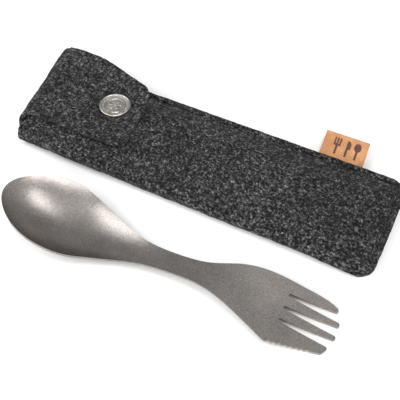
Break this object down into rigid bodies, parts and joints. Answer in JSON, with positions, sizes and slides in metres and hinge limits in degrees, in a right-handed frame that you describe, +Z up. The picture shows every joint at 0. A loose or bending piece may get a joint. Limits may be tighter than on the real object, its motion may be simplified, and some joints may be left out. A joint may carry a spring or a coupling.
{
  "type": "spork with felt pocket case",
  "caption": "One-sheet metal spork with spoon bowl and serrated fork, beside its felt pocket case with a folding snap flap and a leather tag.",
  "frame": {"origin": "centre of the felt case's flat underside", "axes": "+X along the case from the flap's fold to the closed end, +Y from the spork towards the sewn long seam, +Z up"},
  "size_m": [0.206, 0.1354, 0.0173],
  "materials": {
    "titanium": "bead-blasted matte titanium",
    "felt": "thick mottled charcoal wool felt",
    "snap_metal": "antique nickel plate",
    "tag_leather": "vegetable-tanned leather, matte",
    "thread": "waxed polyester thread"
  },
  "bodies": {
    "case": {"sleeve": "felt", "snap_stud": "snap_metal", "snap_eyelet": "snap_metal", "leather_tag": "tag_leather", "side_seam_thread": "thread", "tag_seam_thread": "thread", "end_seam_thread": "thread"},
    "fold": {"flap_band": "felt"},
    "cover": {"flap": "felt", "snap_cap": "snap_metal", "snap_socket": "snap_metal", "snap_spring": "snap_metal"},
    "spork": {"spork": "titanium"}
  },
  "joints": [
    {"name": "flap_fold", "type": "hinge", "parent": "case", "child": "fold", "pos_m": [-0.10095, 0, 0.00205], "axis": [0, -1, 0], "range_deg": [0, 87]},
    {"name": "flap_open", "type": "hinge", "parent": "fold", "child": "cover", "pos_m": [-0.10095, 0, 0.01195], "axis": [0, -1, 0], "range_deg": [0, 87]},
    {"name": "spork_lift", "type": "slide", "parent": "case", "child": "spork", "axis": [0, 0, 1], "range_m": [0, 0.06]}
  ],
  "couplings": [
    {"joint": "flap_fold", "follows": "flap_open", "ratio": 1}
  ]
}
